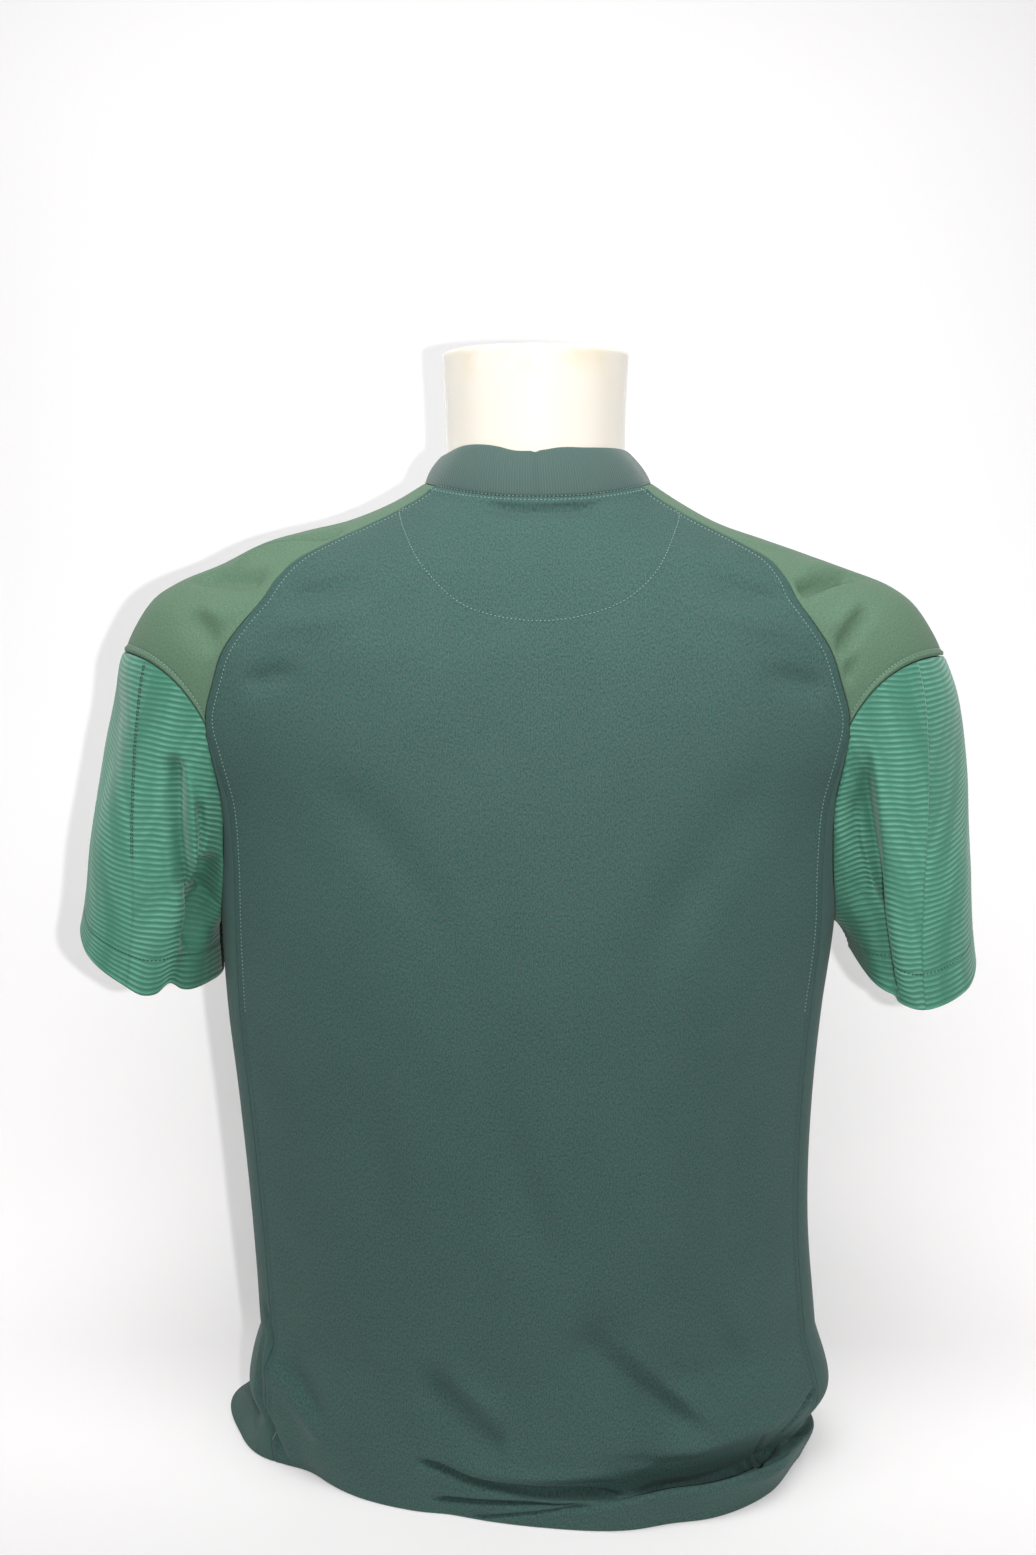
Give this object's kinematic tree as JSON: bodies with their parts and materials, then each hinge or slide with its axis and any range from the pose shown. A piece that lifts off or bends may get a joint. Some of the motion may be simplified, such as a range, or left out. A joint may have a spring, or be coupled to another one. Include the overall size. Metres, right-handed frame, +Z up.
{
  "type": "soccer jersey on a torso form",
  "caption": "Short-sleeved raglan jersey with ribbed sleeves and a stand collar, hung on a glossy limbless torso form, its hem gathered on the surface.",
  "frame": {"origin": "centre of the torso form's flat base, on the surface it stands on", "axes": "+Z up; the wearer faces -Y, so the back is at +Y; +X is the wearer's left"},
  "size_m": [0.5877, 0.2642, 0.724],
  "materials": {
    "body_knit": "fine dark green melange knit, soft sheen",
    "saddle_knit": "olive green plain knit",
    "sleeve_rib": "bright green knit ribbed across the sleeve",
    "collar_knit": "double grey-green knit",
    "form_gloss": "cream gloss, smooth"
  },
  "bodies": {
    "root": {"back_panel": "body_knit", "front_panel": "body_knit", "side_panel_left": "body_knit", "side_panel_right": "body_knit", "shoulder_left": "saddle_knit", "shoulder_right": "saddle_knit", "sleeve_left_back": "sleeve_rib", "sleeve_left_front": "sleeve_rib", "sleeve_right_back": "sleeve_rib", "sleeve_right_front": "sleeve_rib", "collar": "collar_knit", "torso_form": "form_gloss"}
  },
  "joints": []
}
